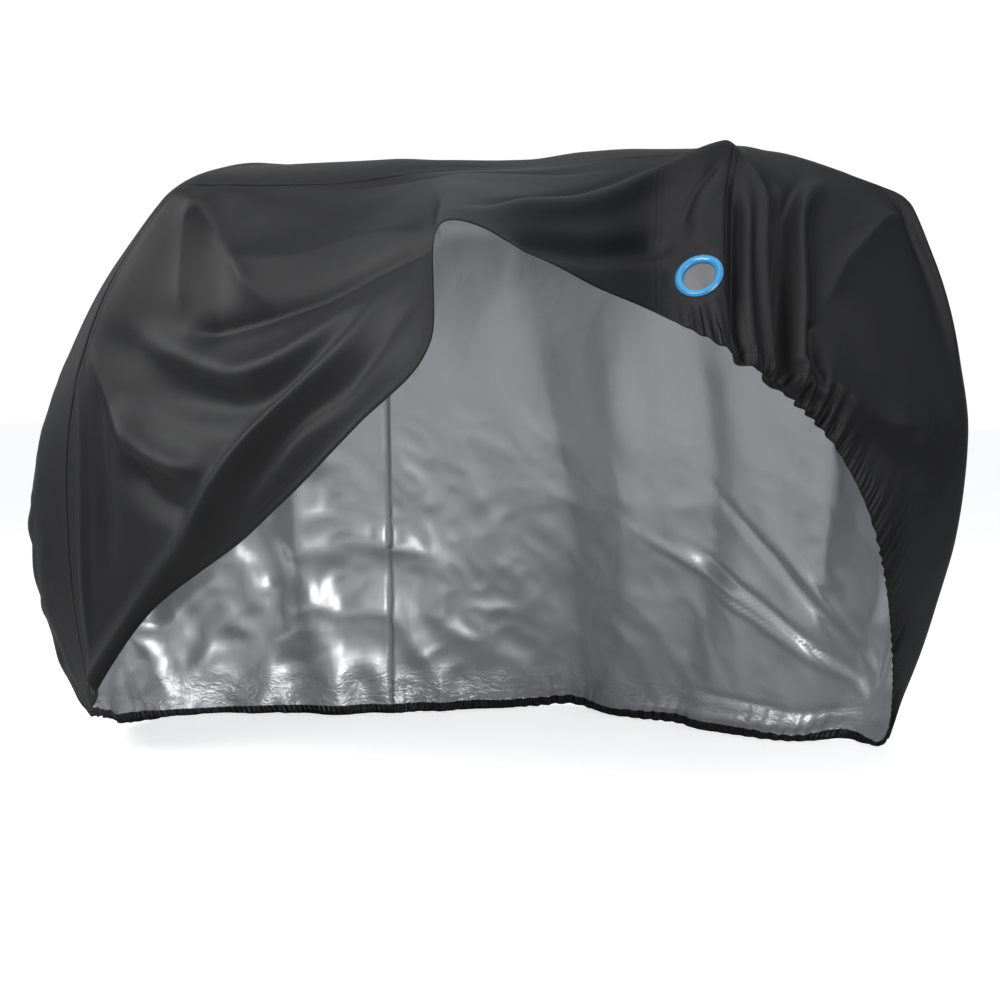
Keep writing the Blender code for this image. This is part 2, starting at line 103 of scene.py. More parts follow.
# Folds: a path of (section, down) places, the width to each side, the rise outwards (a trough
# where it is negative), and whether it fades out at its start or at both its ends.
Fold = namedtuple("Fold", "name path width rise fades")
FOLDS = (
    # the near side's rear corner and its two swags
    Fold("rear_tuck", ((-0.11, 0.34), (0.76, 0.42), (1.63, 0.56), (2.18, 0.68)), 0.050, -0.022, "both"),
    Fold("upper_swag", ((-0.16, 0.30), (0.62, 0.39), (1.29, 0.48), (1.95, 0.60), (2.61, 0.69), (3.25, 0.71),
                        (3.79, 0.66)), 0.034, 0.026, "both"),
    Fold("upper_panel", ((0.84, 0.09), (2.00, 0.11), (3.49, 0.28)), 0.045, 0.008, "both"),
    Fold("middle_hollow", ((0.50, 0.46), (1.64, 0.63), (2.57, 0.74), (3.16, 0.74)), 0.034, -0.015, "both"),
    Fold("lower_swag", ((0.47, 0.52), (0.91, 0.64), (1.38, 0.74), (1.76, 0.81)), 0.026, 0.025, "both"),
    Fold("lower_hollow", ((0.63, 0.63), (1.18, 0.79), (1.58, 0.87)), 0.030, -0.017, "both"),
    Fold("rear_line", ((-0.01, 0.37), (0.42, 0.51), (0.91, 0.67), (1.23, 0.81)), 0.012, 0.007, "both"),
    Fold("hem_ridge", ((3.97, 0.63), (3.56, 0.71), (3.03, 0.81), (2.35, 0.80), (1.86, 0.84), (1.48, 0.93),
                       (0.88, 0.97), (0.22, 0.98)), 0.022, 0.024, "start"),
    Fold("hem_valley", ((4.06, 0.80), (3.62, 0.83), (3.02, 0.90), (2.49, 0.86), (2.06, 0.90), (1.66, 0.96)),
         0.022, -0.012, "both"),
    Fold("hem_turn", ((4.40, 0.97), (3.60, 0.99), (3.00, 0.99), (2.40, 0.99), (1.80, 1.00), (1.00, 1.00),
                      (0.30, 1.00)), 0.040, -0.022, "both"),
    Fold("seam_stripe", ((-0.19, 0.35), (0.21, 0.60), (0.20, 0.86), (0.12, 0.97)), 0.011, 0.007, "both"),
    Fold("seam_side", ((0.21, 0.42), (0.48, 0.66), (0.56, 0.89)), 0.022, -0.009, "both"),
    Fold("top_hollow", ((0.68, 0.01), (2.58, 0.03), (5.84, 0.18), (7.69, 0.07)), 0.016, -0.007, "both"),
    # the near side's front part, drawn from the peak to the apex of the front seam
    Fold("panel_line", ((5.30, 0.90), (6.60, 0.47), (7.70, 0.18), (8.70, 0.04)), 0.012, -0.010, "both"),
    Fold("front_ridge", ((5.30, 0.98), (6.00, 0.78), (6.70, 0.56), (7.75, 0.26), (8.88, 0.06)),
         0.022, 0.022, "start"),
    Fold("peak_valley", ((5.60, 1.00), (6.05, 0.98), (6.75, 0.84), (7.95, 0.66)), 0.022, -0.018, "start"),
    Fold("apex_arc", ((8.93, 0.07), (8.55, 0.31), (8.35, 0.54)), 0.007, -0.006, "both"),
    Fold("apex_panel", ((8.81, 0.20), (8.65, 0.43), (8.62, 0.60)), 0.018, 0.006, "both"),
    # the front end's folds that fall from the apex
    Fold("seam_fold", ((9.05, 0.10), (9.14, 0.35), (9.16, 0.60), (9.13, 0.85), (9.17, 0.98)),
         0.013, -0.024, "start"),
    Fold("seam_light", ((9.30, 0.24), (9.28, 0.57), (9.28, 0.83), (9.32, 0.97)), 0.009, 0.010, "start"),
    Fold("second_fold", ((9.03, 0.06), (9.37, 0.16), (9.52, 0.27), (9.49, 0.54), (9.54, 0.80), (9.62, 0.97)),
         0.009, 0.015, "start"),
    Fold("third_dark", ((9.40, 0.06), (9.65, 0.22), (9.66, 0.52), (9.74, 0.77), (9.80, 0.97)),
         0.014, -0.023, "start"),
    Fold("long_dark", ((10.15, 0.04), (9.86, 0.24), (9.81, 0.54), (9.86, 0.78), (9.95, 0.97)),
         0.011, -0.016, "start"),
    Fold("long_fold", ((10.75, -0.12), (10.45, 0.03), (10.16, 0.14), (9.97, 0.29), (9.93, 0.47), (9.99, 0.72),
                       (10.06, 0.95)), 0.016, 0.026, "start"),
    Fold("shelf_under", ((10.73, 0.91), (11.49, 0.86), (12.41, 0.66)), 0.042, -0.018, "both"),
    # the far side, the rear end and the top
    Fold("far_pleat_front", ((14.10, 0.12), (14.20, 0.55), (14.05, 0.98)), 0.045, 0.022, "start"),
    Fold("far_hollow_front", ((14.60, 0.20), (14.70, 0.60), (14.60, 0.98)), 0.055, -0.020, "start"),
    Fold("far_pleat_middle", ((15.60, 0.10), (15.50, 0.55), (15.60, 0.98)), 0.050, 0.020, "start"),
    Fold("far_hollow_middle", ((16.20, 0.15), (16.10, 0.60), (16.25, 0.98)), 0.055, -0.013, "start"),
    Fold("far_pleat_rear", ((17.00, 0.10), (16.90, 0.60), (17.05, 0.98)), 0.050, 0.015, "start"),
    Fold("star_low", ((13.70, 0.955), (14.90, 0.965), (16.20, 0.975)), 0.008, -0.006, "both"),
    Fold("star_level", ((13.70, 0.950), (14.50, 0.940), (15.60, 0.915)), 0.007, 0.006, "both"),
    Fold("star_wide", ((13.70, 0.96), (14.55, 0.84), (15.60, 0.68)), 0.008, -0.008, "both"),
    Fold("star_long", ((13.70, 0.96), (14.65, 0.80), (15.80, 0.59)), 0.008, 0.007, "both"),
    Fold("star_far", ((13.75, 0.96), (14.90, 0.77), (16.20, 0.56)), 0.010, -0.008, "both"),
    Fold("star_up", ((13.70, 0.96), (14.40, 0.78), (15.10, 0.57)), 0.009, -0.008, "both"),
    Fold("star_steep", ((13.75, 0.96), (14.00, 0.74), (14.20, 0.48)), 0.009, -0.007, "both"),
    Fold("star_high", ((13.70, 0.96), (14.70, 0.72), (15.60, 0.47)), 0.010, 0.007, "both"),
    Fold("rear_corner_fold", ((18.20, 0.05), (18.60, 0.50), (18.50, 0.98)), 0.040, -0.022, "start"),
    Fold("rear_end_fold", ((19.60, 0.10), (19.90, 0.50), (19.80, 0.95)), 0.040, 0.018, "both"),
    Fold("rear_end_drape", ((21.20, 0.22), (20.40, 0.52), (19.20, 0.72)), 0.028, -0.012, "both"),
    Fold("rear_low_drape", ((21.60, 0.52), (20.80, 0.74), (19.90, 0.86)), 0.024, 0.010, "both"),
    Fold("top_sag", ((3.00, -0.40), (5.00, -0.40), (7.20, -0.40)), 0.060, -0.008, "both"),
    Fold("ridge_sag", ((1.50, -0.85), (3.20, -0.90), (5.20, -0.90)), 0.120, -0.007, "both"),
    Fold("far_top_sag", ((14.60, -0.45), (16.00, -0.50), (17.20, -0.50)), 0.070, -0.012, "both"),
)

# Creases: as the folds, but the cloth is bent sharply along the path and eases away beside it.
CREASES = (
    Fold("corner_crease", ((0.30, 0.01), (0.60, 0.07), (1.05, 0.16), (1.45, 0.25), (1.80, 0.35),
                           (2.10, 0.43)), 0.030, 0.017, "both"),
    Fold("rear_cheek", ((0.34, 0.01), (0.55, 0.11), (0.72, 0.20), (0.90, 0.30), (1.08, 0.38)),
         0.026, 0.009, "both"),
    Fold("panel_edge", ((1.30, 0.21), (1.90, 0.27), (2.69, 0.35), (3.38, 0.45), (4.20, 0.59)),
         0.040, 0.012, "both"),
    Fold("swag_valley", ((1.10, 0.40), (1.70, 0.43), (2.23, 0.47), (2.76, 0.54), (3.26, 0.58), (3.68, 0.60),
                         (4.06, 0.63)), 0.026, -0.022, "start"),
    Fold("corner_ridge", ((12.35, 0.06), (11.80, 0.09), (11.05, 0.18), (10.54, 0.37), (10.31, 0.55),
                          (10.22, 0.68)), 0.024, 0.016, "both"),
    Fold("shelf_edge", ((10.22, 0.87), (10.45, 0.86), (10.95, 0.85), (11.48, 0.78), (12.05, 0.67)),
         0.036, 0.020, "both"),
    Fold("kink_high", ((10.12, 0.70), (10.22, 0.80), (10.32, 0.86), (10.50, 0.87)), 0.012, -0.012, "both"),
    Fold("kink_low", ((10.00, 0.88), (10.25, 0.91), (10.60, 0.91)), 0.014, 0.012, "both"),
)
# The front corner is pressed in along one direction, because its outward directions would cross.
CORNER_PRESSES = (
    Fold("corner_press_high", ((12.90, -0.04), (12.90, 0.22), (12.90, 0.46)), 0.110, -0.011, "both"),
    Fold("corner_press_low", ((12.90, 0.64), (12.90, 0.82), (12.90, 1.00)), 0.110, -0.008, "both"),
)
PRESSED_AT, PRESSED_DOWN = 12.6, 0.35
CREASE_ROUND = 0.0025        # radius to which a crease is bent
PATH_STEPS = 22
FADE_SHARE = 0.30            # share of a path over which a fold starts or ends
CREASE_FADE = 0.12           # and over which a crease starts

# The elastic draws the hem into gathers between these sections.
GATHERED = (8.1, 22.5)
GATHER_WAVE = 0.027          # metres along the hem from one gather to the next
GATHER_REACH = 0.060         # and how far up from the hem they reach
GATHER_FULLEST = 9.7         # they stand out most at this place, by the apex's folds
GATHER_SPREAD = 1.2          # and over so many sections to each side
GATHER_LEVEL, GATHER_EXTRA = 0.8, 1.1  # how much elsewhere, and there in addition
RUCHE_WAVE = 0.0105          # metres from one small pleat to the next
FADE_SECTIONS = 0.8          # sections over which gathers and crumples start or end

# Small wrinkles are everywhere, and larger crumples on the far side and the rear end.
WRINKLE_RISE = 0.0028
CRUMPLED = (13.3, 22.6)      # sections between which the cloth is crumpled
CRUMPLED_REAR = (16.8, 1.5)  # from this section, over so many, it grows to full
CRUMPLED_LEAST = 0.35        # share of it before that section
CRUMPLED_DOWN = (0.15, 0.5)  # how far down the crumples start, and over how much of the fall
CRUMPLE_LARGE, CRUMPLE_SMALL = 0.026, 0.009

# Sewing
MERGE_WITHIN = 0.00005       # vertices of two patches this close become one
STRIP_SEAM_SHOWS = 0.22      # how strongly the strip's rear seam shows, beside 1
SEAM_STITCH, HEM_STITCH = 0.0065, 0.022  # metres in from a seam and the hem
STITCH_PITCH = 0.0042
WEAVE_PITCH = 0.0011
RING_GRIP = 0.002            # metres of sheet between the ring's two flanges


def blend(start, end, slope_start, slope_end, share):
    """Return the smooth curve between two points that leaves and arrives with these slopes."""
    square, cube = share ** 2, share ** 3
    return ((2 * cube - 3 * square + 1) * start + (cube - 2 * square + share) * slope_start
            + (3 * square - 2 * cube) * end + (cube - square) * slope_end)


def read_loop(points, at):
    """Read a closed smooth curve through the points, one point to each whole number."""
    ahead = np.sqrt(np.linalg.norm(np.roll(points, -1, 0) - points, axis=1, keepdims=True))
    behind = np.roll(ahead, 1, 0)
    slopes = ((points - np.roll(points, 1, 0)) / behind * ahead
              + (np.roll(points, -1, 0) - points) / ahead * behind) / (ahead + behind)
    first = np.floor(at).astype(int) % ROUND
    second = (first + 1) % ROUND
    step = ahead[first]
    share = (at - np.floor(at))[:, None]
    return blend(points[first], points[second], slopes[first] * step, slopes[second] * step, share)


def read_path(points, at):
    """Read an open smooth curve through the points, one point to each whole number."""
    points = np.array(points, float)
    slopes = np.gradient(points, axis=0)
    first = np.clip(np.floor(at).astype(int), 0, len(points) - 2)
    share = (at - first)[:, None]
    return blend(points[first], points[first + 1], slopes[first], slopes[first + 1], share)


def ridge_share(at):
    """Say how far along the top's ridge, from rear to front, a place around the cover meets it."""
    at = at % ROUND
    near = at / FRONT_SEAM
    far = 1 - (at - FRONT_FAR) / (REAR_FAR - FRONT_FAR)
    return np.where(at <= FRONT_SEAM, near, np.where(at <= FRONT_FAR, 1.0, np.clip(far, 0, 1)))


EDGES, BELLIES, HEMS = (np.array(ring) for ring in zip(*[section[1:] for section in SECTIONS]))


def stretched_share(at):
    """Say how much the front corner stretches each place around the cover, from 0 to 1."""
    return np.exp(-((at % ROUND - CORNER_AT) / CORNER_REACH) ** 2)


def plain_sheet(at, down):
    """Return places on the sheet before its folds."""
    at, down = np.broadcast_arrays(np.atleast_1d(at).astype(float), np.atleast_1d(down).astype(float))
    edge, belly, hem = read_loop(EDGES, at), read_loop(BELLIES, at), read_loop(HEMS, at)
    ridge = read_path(RIDGE, ridge_share(at) * (len(RIDGE) - 1))
    bow = TOP_BOW - CORNER_FLAT * stretched_share(at)
    turn_from = EDGE_ROUND * (1 - CORNER_SHARP * stretched_share(at))

    def top(share):
        flat = ridge + (edge - ridge) * share[:, None]
        flat[:, 2] = ridge[:, 2] + (edge - ridge)[:, 2] * share ** bow
        return flat

    def wall(share):
        share = share[:, None]
        return (edge * (2 * share - 1) * (share - 1) + belly * 4 * share * (1 - share)
                + hem * share * (2 * share - 1))

    above = np.minimum(TURN_ABOVE, turn_from / np.linalg.norm(edge - ridge, axis=1))
    below = np.minimum(TURN_BELOW, turn_from / (WALL_STRETCH * np.linalg.norm(hem - edge, axis=1)))
    turn = np.where(down < 0, (down + above) / above, 1 + down / below) / 2
    turn = np.clip(turn, 0, 1)[:, None]
    corner = (1 - turn) ** 2 * top(1 - above) + 2 * turn * (1 - turn) * edge + turn ** 2 * wall(below)
    plain = np.where(down[:, None] < 0, top(np.clip(down + 1, 0, 1)), wall(np.clip(down, 0, 1)))
    return np.where(((down > -above) & (down < below))[:, None], corner, plain)


def outward(sheet, at, down):
    """Return the outward directions of a sheet function at these places."""
    step = 0.004
    along = sheet(at + step, down) - sheet(at - step, down)
    across = sheet(at, np.minimum(down + step, 1)) - sheet(at, np.maximum(down - step, -1))
    normal = np.cross(across, along)
    length = np.linalg.norm(normal, axis=1, keepdims=True)
    return np.where(length > 1e-9, normal / np.maximum(length, 1e-9), np.array((0.0, 0.0, 1.0)))


def soften(share):
    """Ease a share from 0 to 1 with level ends."""
    share = np.clip(share, 0, 1)
    return share * share * (3 - 2 * share)


def nearest_on(line, places):
    """Return each place's distance to a line of points, and how far along the line that is."""
    nearest = np.full(len(places), 1e9)
    along = np.zeros(len(places))
    passed = 0.0
    for start, end in zip(line[:-1], line[1:]):
        run = end - start
        length = np.linalg.norm(run)
        share = np.clip((places - start) @ run / max(length ** 2, 1e-12), 0, 1)
        distance = np.linalg.norm(places - start - share[:, None] * run, axis=1)
        closer = distance < nearest
        nearest = np.where(closer, distance, nearest)
        along = np.where(closer, passed + share * length, along)
        passed += length
    return nearest, along, passed


def fold_rise(fold, places, sharp=False):
    """Return how far a fold, or a sharp crease, lifts each place on the sheet."""
    path = read_path(fold.path, np.linspace(0, len(fold.path) - 1, PATH_STEPS + 1))
    line = plain_sheet(path[:, 0], path[:, 1])
    nearest, along, length = nearest_on(line, places)
    share = along / length
    strength = soften(share / (CREASE_FADE if sharp else FADE_SHARE))
    if fold.fades == "both":
        strength = strength * soften((1 - share) / FADE_SHARE)
    if sharp:
        return fold.rise * strength * np.exp((CREASE_ROUND - np.hypot(nearest, CREASE_ROUND)) / fold.width)
    return fold.rise * strength * np.exp(-(nearest / fold.width) ** 2)


EYELET_CENTRE = plain_sheet(EYELET_AT, EYELET_DOWN)[0]
EYELET_AXIS = outward(plain_sheet, np.array([EYELET_AT]), np.array([EYELET_DOWN]))[0]
PRESSED_AXIS = outward(plain_sheet, np.array([PRESSED_AT]), np.array([PRESSED_DOWN]))[0]


def hem_run(at):
    """Return the length of hem from section 0 to each place."""
    steps = np.linspace(0, ROUND, 60 * ROUND + 1)
    lengths = np.linalg.norm(np.diff(read_loop(HEMS, steps), axis=0), axis=1)
    return np.interp(at % (ROUND + 1e-9), steps, np.r_[0.0, np.cumsum(lengths)])


def gather_rise(at, down, fall, rise):
    """Return how far the gathers of the elastic hem lift each place, fall metres above the hem."""
    first, last = GATHERED
    reach = np.exp(-(fall / GATHER_REACH) ** 2)
    ends = soften((at % ROUND - first) / FADE_SECTIONS) * soften((last - at % ROUND) / FADE_SECTIONS)
    run = hem_run(at)
    wander = 0.35 * np.sin(run * 41.0) + 0.30 * np.sin(run * 17.0 + 1.0)
    wave = np.sin(2 * np.pi * run / GATHER_WAVE + 2.2 * wander + fall * 14)
    uneven = 0.55 + 0.45 * np.sin(run * 23.0 + 2.0)
    fullest = np.exp(-((at % ROUND - GATHER_FULLEST) / GATHER_SPREAD) ** 2)
    full = GATHER_LEVEL + GATHER_EXTRA * fullest
    return rise * reach * ends * uneven * wave * full * (down > 0)


def wrinkle_rise(at, down, places):
    """Return the small wrinkles of handled cloth, and the crumples of its far side and rear end."""
    at = at % ROUND
    first, last = CRUMPLED
    low = soften((down - CRUMPLED_DOWN[0]) / CRUMPLED_DOWN[1])
    behind = soften((at - first) / FADE_SECTIONS) * soften((last - at) / FADE_SECTIONS)
    rear = soften((at - CRUMPLED_REAR[0]) / CRUMPLED_REAR[1])
    crumpled = behind * low * (CRUMPLED_LEAST + (1 - CRUMPLED_LEAST) * rear)
    lifts = np.empty(len(places))
    for number, (x, y, z) in enumerate(places):
        lifts[number] = WRINKLE_RISE * noise.noise(Vector((x * 7.0 + z * 2.0, y * 7.0, z * 4.0)))
        if crumpled[number]:
            slant = x + 0.6 * z
            large = abs(noise.noise(Vector((slant * 8.0, y * 8.0, z * 5.0 - x * 3.0 + 4.0))))
            small = abs(noise.noise(Vector((slant * 19.0 + 2.0, y * 19.0, z * 13.0 - x * 9.0))))
            lifts[number] += crumpled[number] * (CRUMPLE_LARGE * large + CRUMPLE_SMALL * small)
    return lifts


def folded_sheet(at, down, gather=0.0, wrinkled=False):
    """Return places on the sheet with its folds, gathers, wrinkles and the flat patch at the eyelet."""
    plain = plain_sheet(at, down)
    rise = sum(fold_rise(fold, plain) for fold in FOLDS)
    rise = rise + sum(fold_rise(crease, plain, sharp=True) for crease in CREASES)
    if gather:
        fall = np.linalg.norm(plain_sheet(at, np.ones_like(down)) - plain, axis=1)
        rise = rise + gather_rise(at, down, fall, gather)
    if wrinkled:
        rise = rise + wrinkle_rise(at, down, plain)
    pressed = sum(fold_rise(press, plain) for press in CORNER_PRESSES)
    folded = plain + outward(plain_sheet, at, down) * rise[:, None] + PRESSED_AXIS * pressed[:, None]
    lift = (folded - EYELET_CENTRE) @ EYELET_AXIS
    aside = np.linalg.norm(folded - EYELET_CENTRE - lift[:, None] * EYELET_AXIS, axis=1)
    flat = 1 - soften((aside - FLAT_RADIUS) / FLAT_FADE)
    flat = np.where(np.abs(lift) < EYELET_REACH, flat, 0.0)
    flat = flat * (1 - soften((at % ROUND - FRONT_SEAM) / FLAT_PAST_SEAM))
    folded = folded - EYELET_AXIS * (lift * flat)[:, None]
    folded[:, 2] = np.maximum(folded[:, 2], FLOOR_REST)
    return folded


# Panels --------------------------------------------------------------------------------------
def seam_lines():
    """Return the lines that the panels are sewn along, as points on the sheet."""
    fall = np.linspace(0, 1, 60)
    near, far = np.linspace(0, FRONT_SEAM, 160), np.linspace(FRONT_FAR, REAR_FAR, 90)
    lines = {
        "near_top": folded_sheet(near, np.zeros_like(near)),
        "far_top": folded_sheet(far, np.zeros_like(far)),
    }
    for name, at in (("rear", REAR_SEAM), ("strip", STRIP_SEAM), ("front", FRONT_SEAM),
                     ("front_far", FRONT_FAR), ("rear_far", REAR_FAR)):
        lines[name] = folded_sheet(np.full_like(fall, at), fall)
    return lines


def add_patch(bm, at, down, gather):
    """Lay one fine patch of cloth on the sheet, and keep each vertex's place for its material."""
    grid = bmesh.ops.create_grid(bm, x_segments=len(at) - 1, y_segments=len(down) - 1, size=1.0)
    verts = grid["verts"]
    flat = np.array([vert.co for vert in verts])
    column = np.rint((flat[:, 0] + 1) / 2 * (len(at) - 1)).astype(int)
    row = np.rint((flat[:, 1] + 1) / 2 * (len(down) - 1)).astype(int)
    vert_at, vert_down = at[column], down[row]
    places = folded_sheet(vert_at, vert_down, gather=gather, wrinkled=True) - CARRIED_AT
    run = hem_run(vert_at)
    to_hem = np.linalg.norm(plain_sheet(vert_at, np.ones_like(vert_at)) - plain_sheet(vert_at, vert_down),
                            axis=1)
    to_hem = np.where(vert_down < 0, 1.0, to_hem)
    hem_place = bm.verts.layers.float_vector["hem_place"]
    mask = soften((vert_at - GATHERED[0]) / FADE_SECTIONS)
    for vert, place, along, above, gathered in zip(verts, places, run, to_hem, mask):
        vert.co = Vector(place)
        vert[hem_place] = Vector((above, along, gathered))


def cloth_panel(patches, seams, sizes):
    """Sew fine patches into one panel, and keep each vertex's place beside the seams."""
    lines = seam_lines()
    bm = bmesh.new()
    bm.verts.layers.float_vector.new("hem_place")
    bm.verts.layers.float_vector.new("seam_place")
    for at, down in patches:
        add_patch(bm, at, down, sizes.gather_rise)
    bmesh.ops.remove_doubles(bm, verts=bm.verts[:], dist=MERGE_WITHIN)
    bm.verts.ensure_lookup_table()
    places = np.array([vert.co for vert in bm.verts]) + CARRIED_AT
    nearest, along, weight = np.full(len(places), 1.0), np.zeros(len(places)), np.ones(len(places))
    for seam in seams:
        distance, run, _ = nearest_on(lines[seam], places)
        along = np.where(distance < nearest, run, along)
        shows = STRIP_SEAM_SHOWS if seam == "strip" else 1.0
        weight = np.where(distance < nearest, shows, weight)
        nearest = np.minimum(nearest, distance)
    seam_place = bm.verts.layers.float_vector["seam_place"]
    for vert, distance, run, strength in zip(bm.verts, nearest, along, weight):
        vert[seam_place] = Vector((distance, run, strength))
    return bm


def turn_outwards(bm, at, down):
    """Turn all faces so that the one near this place on the sheet looks out of the cover."""
    bmesh.ops.recalc_face_normals(bm, faces=bm.faces[:])
    place = Vector(folded_sheet(np.array([at]), np.array([down]))[0] - CARRIED_AT)
    out = Vector(outward(folded_sheet, np.array([at]), np.array([down]))[0])
    face = min(bm.faces, key=lambda item: (item.calc_center_median() - place).length_squared)
    if face.normal.dot(out) < 0:
        bmesh.ops.reverse_faces(bm, faces=bm.faces[:])


def mesh_object(bm, name, materials, smooth=True):
    """Make an object of a bmesh, with these materials."""
    mesh = bpy.data.meshes.new(name)
    bm.to_mesh(mesh)
    bm.free()
    if smooth:
        mesh.shade_smooth()
    for material in materials:
        mesh.materials.append(material)
    piece = bpy.data.objects.new(name, mesh)
    bpy.context.scene.collection.objects.link(piece)
    return piece


def finish_panel(bm, name, sizes, materials):
    """Make the panel an object: black outside and at its edges, silver inside."""
    piece = mesh_object(bm, name, materials)
    wall = piece.modifiers.new("cloth_thickness", "SOLIDIFY")
    wall.thickness = sizes.cloth
    wall.offset = -1.0
    wall.material_offset = 1
    wall.use_quality_normals = True
    return piece


def spread(first, last, count):
    """Return evenly spaced places from the first to the last."""
    return np.linspace(first, last, count + 1)


# Materials -----------------------------------------------------------------------------------
class Nodes:
    """Short calls for the nodes of one material."""

    def __init__(self, name):
        self.material = bpy.data.materials.new(name)
        self.material.use_nodes = True
        self.tree = self.material.node_tree
        self.shader = self.tree.nodes["Principled BSDF"]

    def link(self, value, socket):
        """Give a socket a number, a colour or another node's output."""
        if isinstance(value, bpy.types.NodeSocket):
            self.tree.links.new(value, socket)
        else:
            socket.default_value = value

    def maths(self, operation, first, second=0.0, third=0.0):
        """Return a maths node's output."""
        node = self.tree.nodes.new("ShaderNodeMath")
        node.operation = operation
        for value, socket in zip((first, second, third), node.inputs):
            self.link(value, socket)
        return node.outputs[0]

    def step(self, value, low, high, start=0.0, end=1.0):
        """Return a smooth step of a value, from start at low to end at high."""
        node = self.tree.nodes.new("ShaderNodeMapRange")
        node.interpolation_type = "SMOOTHSTEP"
        for name, number in (("From Min", low), ("From Max", high), ("To Min", start), ("To Max", end)):
            node.inputs[name].default_value = number
        self.link(value, node.inputs["Value"])
        return node.outputs["Result"]

    def noise(self, vector, scale, detail=3.0, rough=0.5, distortion=0.0):
        """Return a noise node's value."""
        node = self.tree.nodes.new("ShaderNodeTexNoise")
        node.inputs["Scale"].default_value = scale
        node.inputs["Detail"].default_value = detail
        node.inputs["Roughness"].default_value = rough
        node.inputs["Distortion"].default_value = distortion
        self.link(vector, node.inputs["Vector"])
        return node.outputs["Fac"]

    def stretched(self, vector, scale):
        """Return a vector scaled by these three numbers."""
        node = self.tree.nodes.new("ShaderNodeMapping")
        node.inputs["Scale"].default_value = scale
        self.link(vector, node.inputs["Vector"])
        return node.outputs["Vector"]

    def place(self):
        """Return the object coordinates."""
        return self.tree.nodes.new("ShaderNodeTexCoord").outputs["Object"]

    def kept(self, name):
        """Return the three numbers of an attribute that the panel keeps at each vertex."""
        node = self.tree.nodes.new("ShaderNodeAttribute")
        node.attribute_name = name
        parts = self.tree.nodes.new("ShaderNodeSeparateXYZ")
        self.link(node.outputs["Vector"], parts.inputs[0])
        return parts.outputs

    def mix(self, share, first, second):
        """Return a mix of two colours."""
        node = self.tree.nodes.new("ShaderNodeMix")
        node.data_type = "RGBA"
        self.link(share, node.inputs["Factor"])
        self.link((*first, 1.0) if isinstance(first, tuple) else first, node.inputs[6])
        self.link((*second, 1.0) if isinstance(second, tuple) else second, node.inputs[7])
        return node.outputs[2]

    def bump(self, height, distance, strength=1.0, normal=None):
        """Return the normal of a surface with this height, in metres times distance."""
        node = self.tree.nodes.new("ShaderNodeBump")
        node.inputs["Strength"].default_value = strength
        node.inputs["Distance"].default_value = distance
        self.link(height, node.inputs["Height"])
        if normal is not None:
            self.link(normal, node.inputs["Normal"])
        return node.outputs["Normal"]


def shades(colour, low, high):
    """Return a darker and a lighter shade of a colour."""
    return tuple(part * low for part in colour), tuple(min(part * high, 1.0) for part in colour)


def weave_height(nodes, place, pitch):
    """Return the height of a fine plain weave with this pitch, in object coordinates."""
    parts = nodes.tree.nodes.new("ShaderNodeSeparateXYZ")
    nodes.link(place, parts.inputs[0])
    turns = 2 * np.pi / pitch
    across = nodes.maths("MULTIPLY", nodes.maths("ADD", parts.outputs[0], parts.outputs[1]), turns)
    up = nodes.maths("MULTIPLY", parts.outputs[2], turns)
    return nodes.maths("MULTIPLY", nodes.maths("SINE", across), nodes.maths("SINE", up))


def stitch_height(nodes, distance, run, inset):
    """Return dashes of thread along a line, this far inside it."""
    line = nodes.maths("ABSOLUTE", nodes.maths("SUBTRACT", distance, inset))
    thread = nodes.step(line, 0.0004, 0.0009, 1.0, 0.0)
    dash = nodes.maths("FRACT", nodes.maths("DIVIDE", run, STITCH_PITCH))
    drawn = nodes.step(nodes.maths("ABSOLUTE", nodes.maths("SUBTRACT", dash, 0.5)), 0.30, 0.38, 1.0, 0.0)
    return nodes.maths("MULTIPLY", thread, drawn)


def ruche_height(nodes, clouds, along, gathered):
    """Return the small uneven pleats of the elastic hem, where it is gathered."""
    wander = nodes.maths("MULTIPLY", clouds, 30.0)
    fine = nodes.maths("SINE", nodes.maths("MULTIPLY_ADD", along, 2 * np.pi / RUCHE_WAVE, wander))
    broad = nodes.maths("SINE", nodes.maths("MULTIPLY_ADD", along, 2 * np.pi / GATHER_WAVE, wander))
    return nodes.maths("MULTIPLY", nodes.maths("MULTIPLY_ADD", broad, 0.8, fine), gathered)


